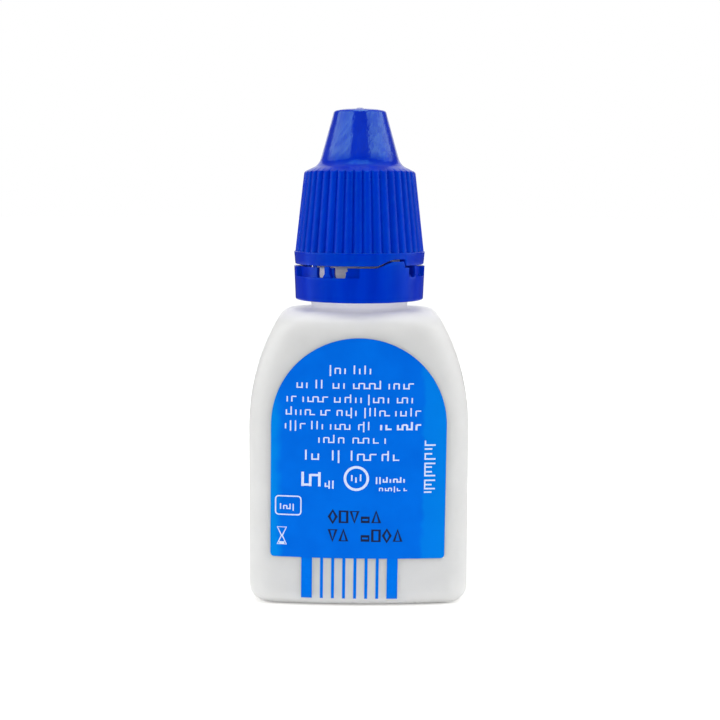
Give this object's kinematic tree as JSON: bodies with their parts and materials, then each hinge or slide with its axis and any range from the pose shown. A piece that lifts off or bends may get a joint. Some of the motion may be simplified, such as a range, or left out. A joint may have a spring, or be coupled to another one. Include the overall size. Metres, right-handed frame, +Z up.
{
  "type": "eye drop bottle",
  "caption": "Flat oval squeeze bottle with a dropper insert, a ribbed screw cap with a tapered tip and a tamper ring.",
  "frame": {"origin": "centre of the base, on the surface the bottle stands on", "axes": "+Z up along the neck, +X across the width, the pictured face towards -Y"},
  "size_m": [0.0294, 0.0176, 0.0659],
  "materials": {
    "bottle_plastic": "satin white low density polyethylene",
    "nozzle_plastic": "satin natural low density polyethylene",
    "cap_plastic": "satin royal blue high density polyethylene",
    "ring_plastic": "satin royal blue high density polyethylene",
    "label_film": "printed polypropylene film, half gloss"
  },
  "bodies": {
    "bottle": {"bottle": "bottle_plastic", "dropper_nozzle": "nozzle_plastic", "label_front": "label_film", "label_back": "label_film"},
    "ring": {"tamper_ring": "ring_plastic", "tamper_bridges": "ring_plastic"},
    "cap": {"cap": "cap_plastic"}
  },
  "joints": [
    {"name": "cap_turn", "type": "hinge", "parent": "bottle", "child": "ring", "pos_m": [0, 0, 0.045], "axis": [0, 0, 1], "range_deg": [0, 576]},
    {"name": "cap_rise", "type": "slide", "parent": "ring", "child": "cap", "axis": [0, 0, 1], "range_m": [0, 0.0048]}
  ],
  "couplings": [
    {"joint": "cap_rise", "follows": "cap_turn", "m_per_rad": 0.00047746}
  ]
}
